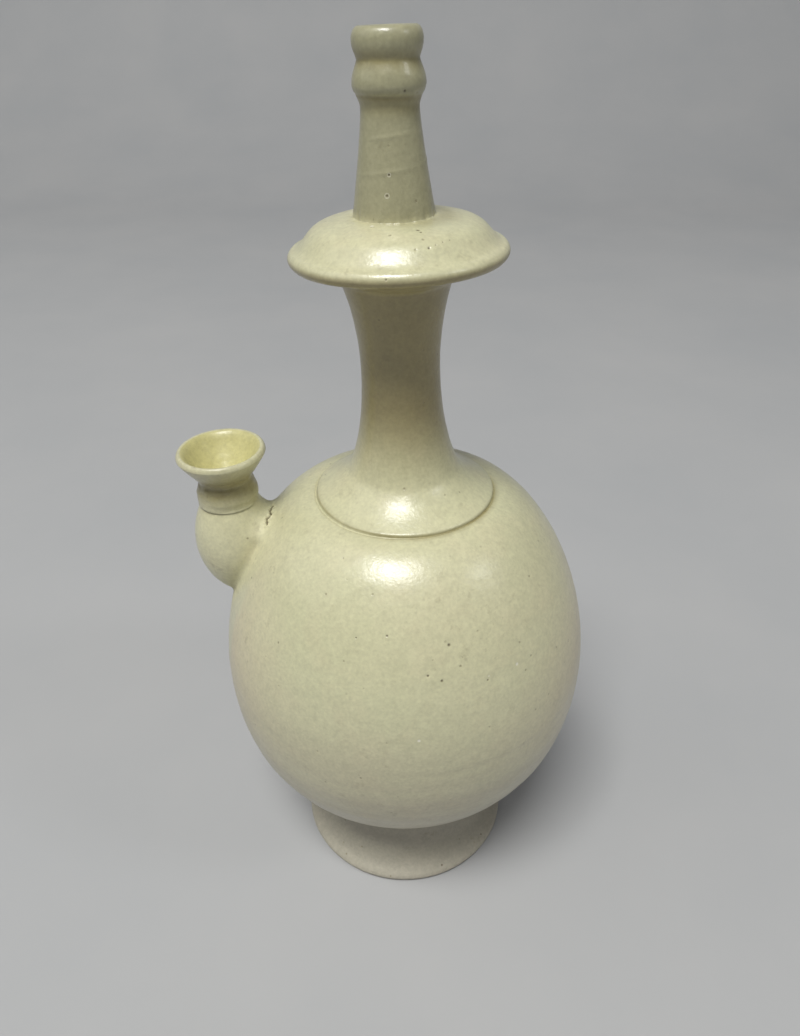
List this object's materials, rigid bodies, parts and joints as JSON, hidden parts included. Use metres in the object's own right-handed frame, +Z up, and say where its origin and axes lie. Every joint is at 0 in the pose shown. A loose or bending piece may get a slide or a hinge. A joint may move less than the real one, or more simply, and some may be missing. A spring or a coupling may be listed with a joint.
{
  "type": "kundika",
  "caption": "Glazed ceramic water ewer: an egg-shaped body on a flared foot, a tall neck with a disc and a narrow mouth tube, and a filling spout with a cup.",
  "frame": {"origin": "on the standing surface, under the middle of the space that the whole ewer takes up", "axes": "+Z up to the mouth, -X towards the filling spout"},
  "size_m": [0.1432, 0.1342, 0.2999],
  "materials": {
    "glaze": "glossy, pale cream, slightly greenish"
  },
  "bodies": {
    "root": {"foot": "glaze", "lower_body": "glaze", "upper_body": "glaze", "shoulder": "glaze", "neck": "glaze", "disc": "glaze", "mouth_tube": "glaze", "spout_bulb": "glaze", "spout_cup": "glaze"}
  },
  "joints": []
}
